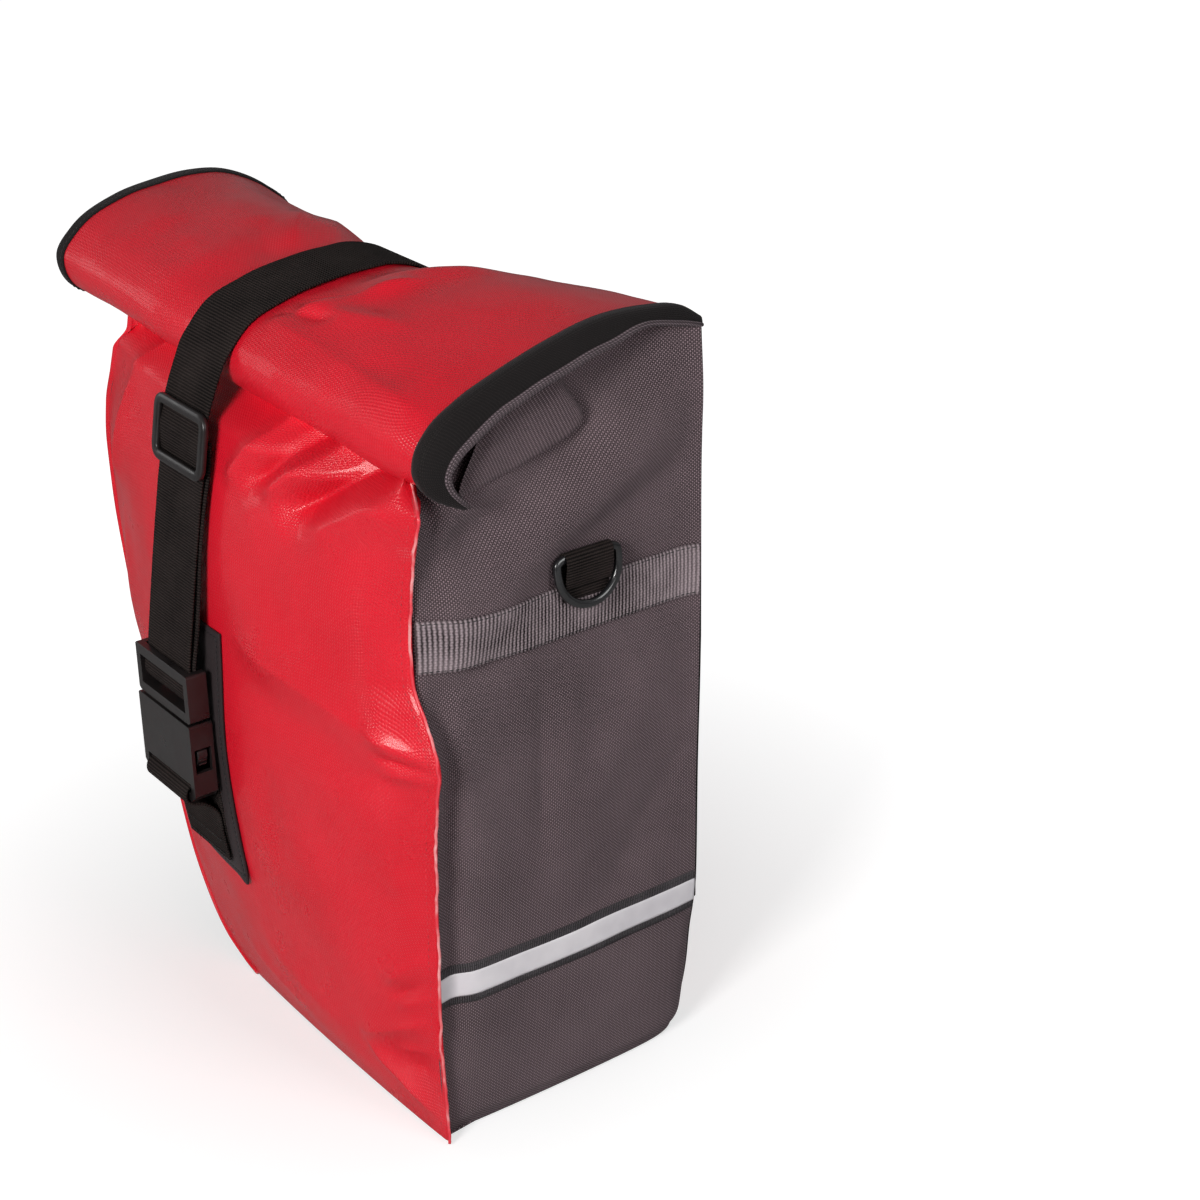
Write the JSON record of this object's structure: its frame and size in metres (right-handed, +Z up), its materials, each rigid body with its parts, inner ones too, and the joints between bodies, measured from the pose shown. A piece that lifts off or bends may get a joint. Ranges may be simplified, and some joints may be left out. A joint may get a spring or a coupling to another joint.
{
  "type": "pannier bag",
  "caption": "Roll-top bicycle pannier in glossy red tarpaulin with dark woven sides, a wide closure strap with a side-release buckle, reflective tape and rack hooks.",
  "frame": {"origin": "underside of the base panel, midway between the front and back seams", "axes": "+Z up, +X towards the straight side, the heel cut-away on -X, +Y towards the rack; the outer face with the buckle looks along -Y"},
  "size_m": [0.3916, 0.2626, 0.4606],
  "materials": {
    "red_tarpaulin": "glossy PVC-coated reinforced tarpaulin with a fine grid",
    "woven_polyester": "matte coarse woven polyester, dark brown-grey",
    "stiffener_sheet": "matte polyethylene sheet",
    "binding_black": "matte woven edge binding",
    "webbing_grey": "ribbed polyester webbing, faded black",
    "webbing_black": "ribbed polypropylene webbing",
    "patch_black": "smooth coated fabric, stitched at the edge",
    "hook_and_loop": "fine looped pile",
    "reflective_tape": "silver retroreflective tape",
    "plastic_black": "satin moulded acetal",
    "steel_nickel": "nickel-plated steel"
  },
  "bodies": {
    "bag": {"front_panel": "red_tarpaulin", "back_panel": "red_tarpaulin", "right_gusset": "woven_polyester", "left_gusset": "woven_polyester", "base_panel": "woven_polyester", "back_board": "stiffener_sheet", "base_board": "stiffener_sheet", "back_piping": "binding_black", "side_band_right": "webbing_grey", "side_band_left": "webbing_grey", "back_band": "webbing_black", "reflective_strip_right": "reflective_tape", "reflective_strip_left": "reflective_tape", "d_ring_tab_right": "webbing_black", "d_ring_tab_left": "webbing_black", "back_strap": "webbing_black", "buckle_female": "plastic_black", "buckle_patch": "patch_black", "buckle_loop": "webbing_black", "handle_tab_left": "webbing_black", "handle_tab_right": "webbing_black", "rail_hook_left": "plastic_black", "rail_hook_right": "plastic_black", "rail_hook_rivet_left_1": "steel_nickel", "rail_hook_rivet_left_2": "steel_nickel", "rail_hook_rivet_right_1": "steel_nickel", "rail_hook_rivet_right_2": "steel_nickel", "rail_strap_left": "hook_and_loop", "rail_strap_right": "hook_and_loop", "lower_strap": "webbing_black", "lower_strap_rivet": "steel_nickel", "lower_strap_eyelet": "steel_nickel", "lower_adjuster": "plastic_black", "lower_strap_tail": "webbing_black"},
    "roll": {"roll_top": "red_tarpaulin", "roll_binding_right": "binding_black", "roll_binding_left": "binding_black", "gusset_tuck_right": "woven_polyester", "gusset_tuck_left": "woven_polyester", "roll_stiffener": "stiffener_sheet", "roll_strap": "webbing_black"},
    "front_run": {"front_strap": "webbing_black"},
    "slider": {"strap_slider": "plastic_black"},
    "male_half": {"buckle_male": "plastic_black"},
    "left_arm": {"buckle_arm_left": "plastic_black"},
    "right_arm": {"buckle_arm_right": "plastic_black"},
    "ring_right": {"d_ring_right": "plastic_black"},
    "ring_left": {"d_ring_left": "plastic_black"},
    "back_ring": {"back_strap_ring": "steel_nickel"},
    "handle": {"carry_handle": "webbing_black"},
    "anchor_hook": {"lower_hook": "plastic_black"}
  },
  "joints": [
    {"name": "roll_lift", "type": "hinge", "parent": "bag", "child": "roll", "pos_m": [0, 0.088, 0.426], "axis": [-1, 0, 0], "range_deg": [0, 20]},
    {"name": "front_run_hang", "type": "hinge", "parent": "roll", "child": "front_run", "pos_m": [-0.011, -0.093, 0.404], "axis": [1, 0, 0], "range_deg": [0, 20]},
    {"name": "slider_travel", "type": "slide", "parent": "front_run", "child": "slider", "axis": [0, 0.1679, 0.9858], "range_m": [-0.04, 0]},
    {"name": "buckle_release", "type": "slide", "parent": "front_run", "child": "male_half", "axis": [0, 0, 1], "range_m": [0, 0.045], "deforming": ["front_strap", "buckle_arm_left", "buckle_arm_right"]},
    {"name": "buckle_arm_left_squeeze", "type": "hinge", "parent": "male_half", "child": "left_arm", "pos_m": [-0.0265, -0.13325, 0.2066], "axis": [0, -1, 0], "range_deg": [0, 7], "stiffness_Nm_per_rad": 0.4},
    {"name": "buckle_arm_right_squeeze", "type": "hinge", "parent": "male_half", "child": "right_arm", "pos_m": [0.0045, -0.13325, 0.2066], "axis": [0, 1, 0], "range_deg": [0, 7], "stiffness_Nm_per_rad": 0.4},
    {"name": "d_ring_right_swing", "type": "hinge", "parent": "bag", "child": "ring_right", "pos_m": [0.1874, 0.012, 0.331], "axis": [0, -1, 0], "range_deg": [0, 150]},
    {"name": "d_ring_left_swing", "type": "hinge", "parent": "bag", "child": "ring_left", "pos_m": [-0.1712, 0.012, 0.331], "axis": [0, 1, 0], "range_deg": [0, 150]},
    {"name": "back_ring_swing", "type": "hinge", "parent": "bag", "child": "back_ring", "pos_m": [-0.011, 0.09465, 0.136], "axis": [1, 0, 0], "range_deg": [0, 110]},
    {"name": "handle_tilt", "type": "hinge", "parent": "bag", "child": "handle", "pos_m": [-0.01, 0.0975, 0.333], "axis": [1, 0, 0], "range_deg": [-20, 25]},
    {"name": "lower_hook_slide", "type": "slide", "parent": "bag", "child": "anchor_hook", "axis": [1, 0, 0], "range_m": [-0.02, 0.02]}
  ],
  "couplings": [
    {"joint": "front_run_hang", "follows": "roll_lift", "ratio": 1},
    {"joint": "buckle_arm_right_squeeze", "follows": "buckle_arm_left_squeeze", "ratio": 1}
  ]
}
